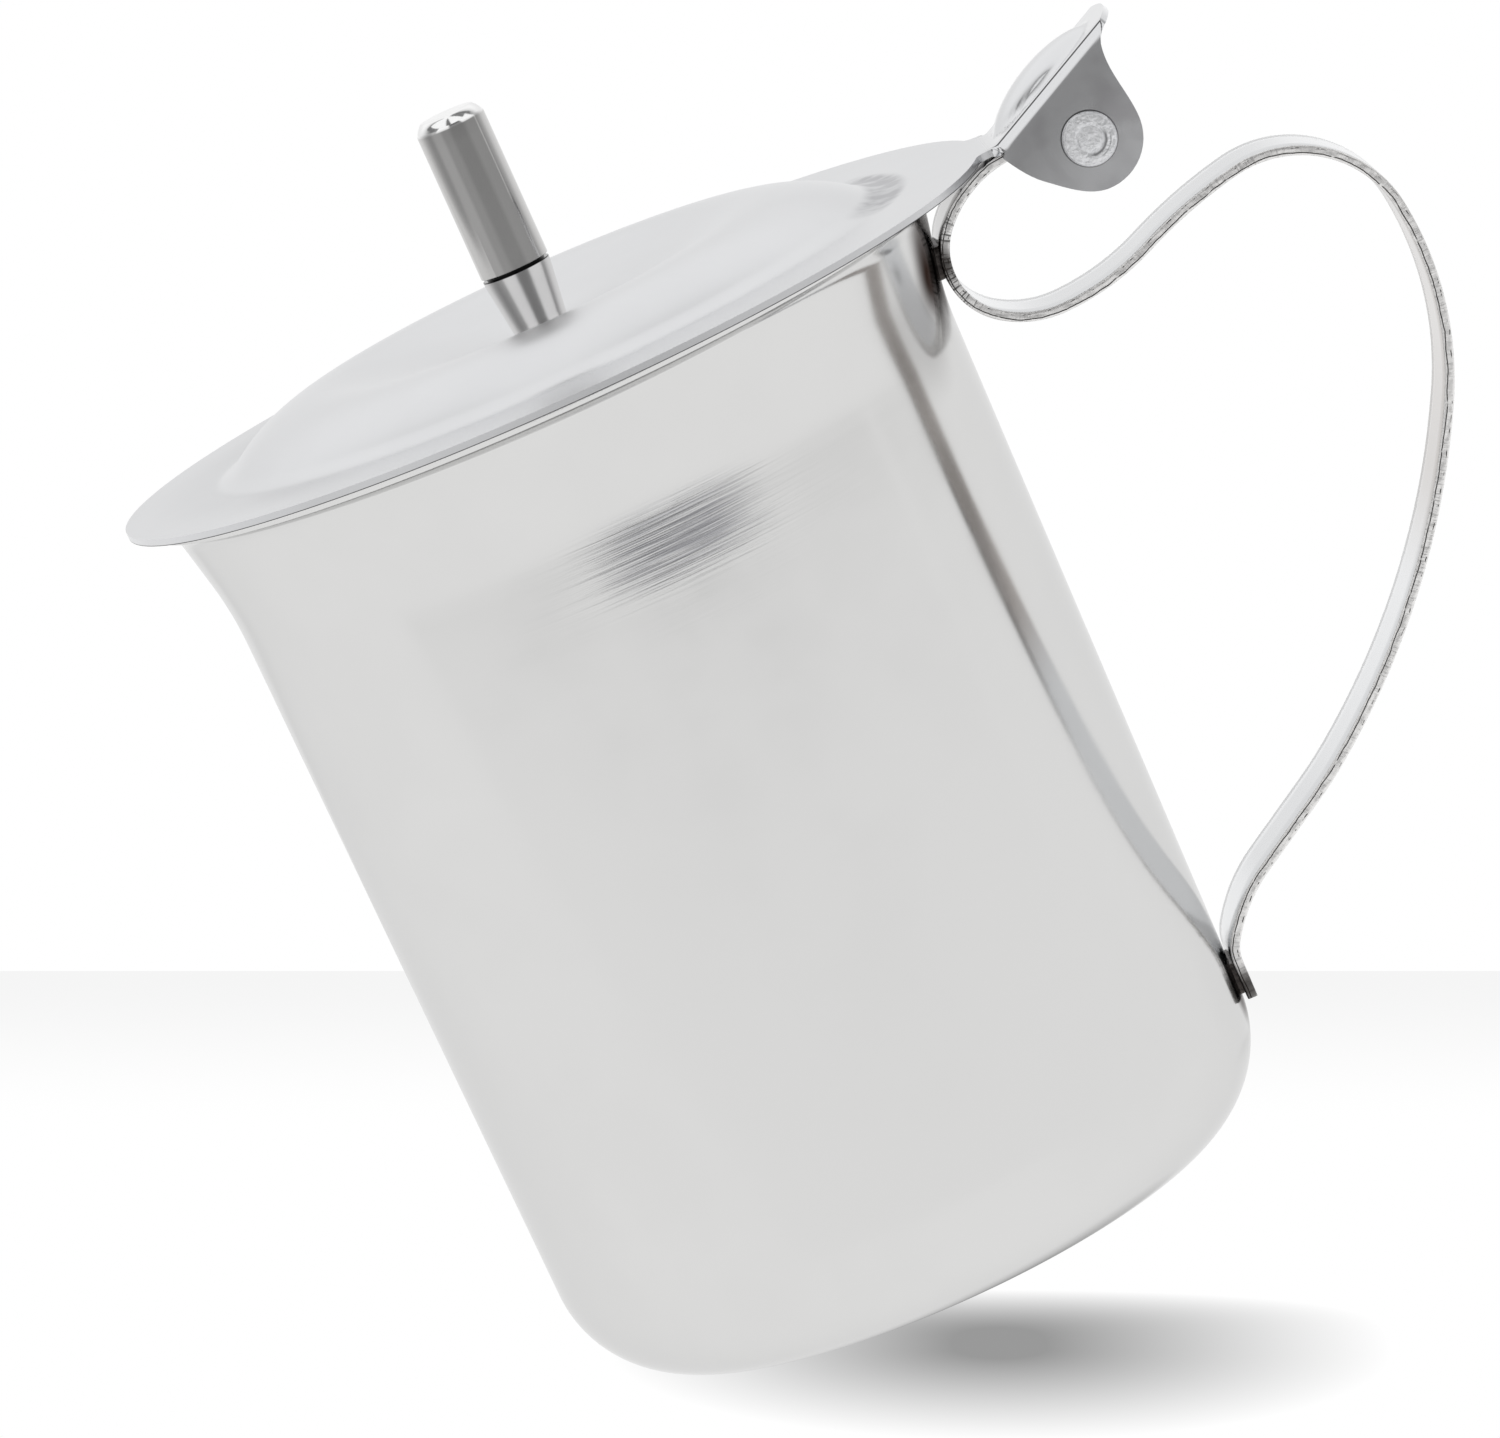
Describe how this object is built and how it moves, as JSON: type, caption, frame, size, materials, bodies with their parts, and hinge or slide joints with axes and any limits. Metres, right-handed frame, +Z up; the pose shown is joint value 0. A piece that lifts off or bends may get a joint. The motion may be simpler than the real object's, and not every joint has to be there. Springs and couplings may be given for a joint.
{
  "type": "creamer pitcher",
  "caption": "Bell-mouthed steel creamer with a strap handle and a domed hinged lid with a thumb flag and a turned knob.",
  "frame": {"origin": "centre of the base's flat underside, on the table", "axes": "+Z up out of the mouth, +X towards the handle and hinge, -X towards the pouring side, Y = 0 is the plane of symmetry"},
  "size_m": [0.117, 0.0838, 0.1132],
  "materials": {
    "cup_steel": "satin, near-mirror drawn sheet",
    "strap_steel": "satin faces with sheared edges",
    "weld_metal": "dull, heat-darkened",
    "lid_steel": "satin, near-mirror stamped sheet",
    "rivet_steel": "rough peened head",
    "collar_steel": "bright turned",
    "grip_steel": "fine turned satin",
    "screw_steel": "plain"
  },
  "bodies": {
    "pitcher": {"body_shell": "cup_steel", "handle_strap": "strap_steel", "upper_weld": "weld_metal", "lower_weld": "weld_metal"},
    "lid": {"lid": "lid_steel", "hinge_rivet": "rivet_steel", "knob_collar": "collar_steel", "knob_grip": "grip_steel", "knob_screw": "screw_steel"}
  },
  "joints": [
    {"name": "lid_hinge", "type": "hinge", "parent": "pitcher", "child": "lid", "pos_m": [0.0524, 0, 0.0881], "axis": [0, 1, 0], "range_deg": [0, 100]}
  ]
}
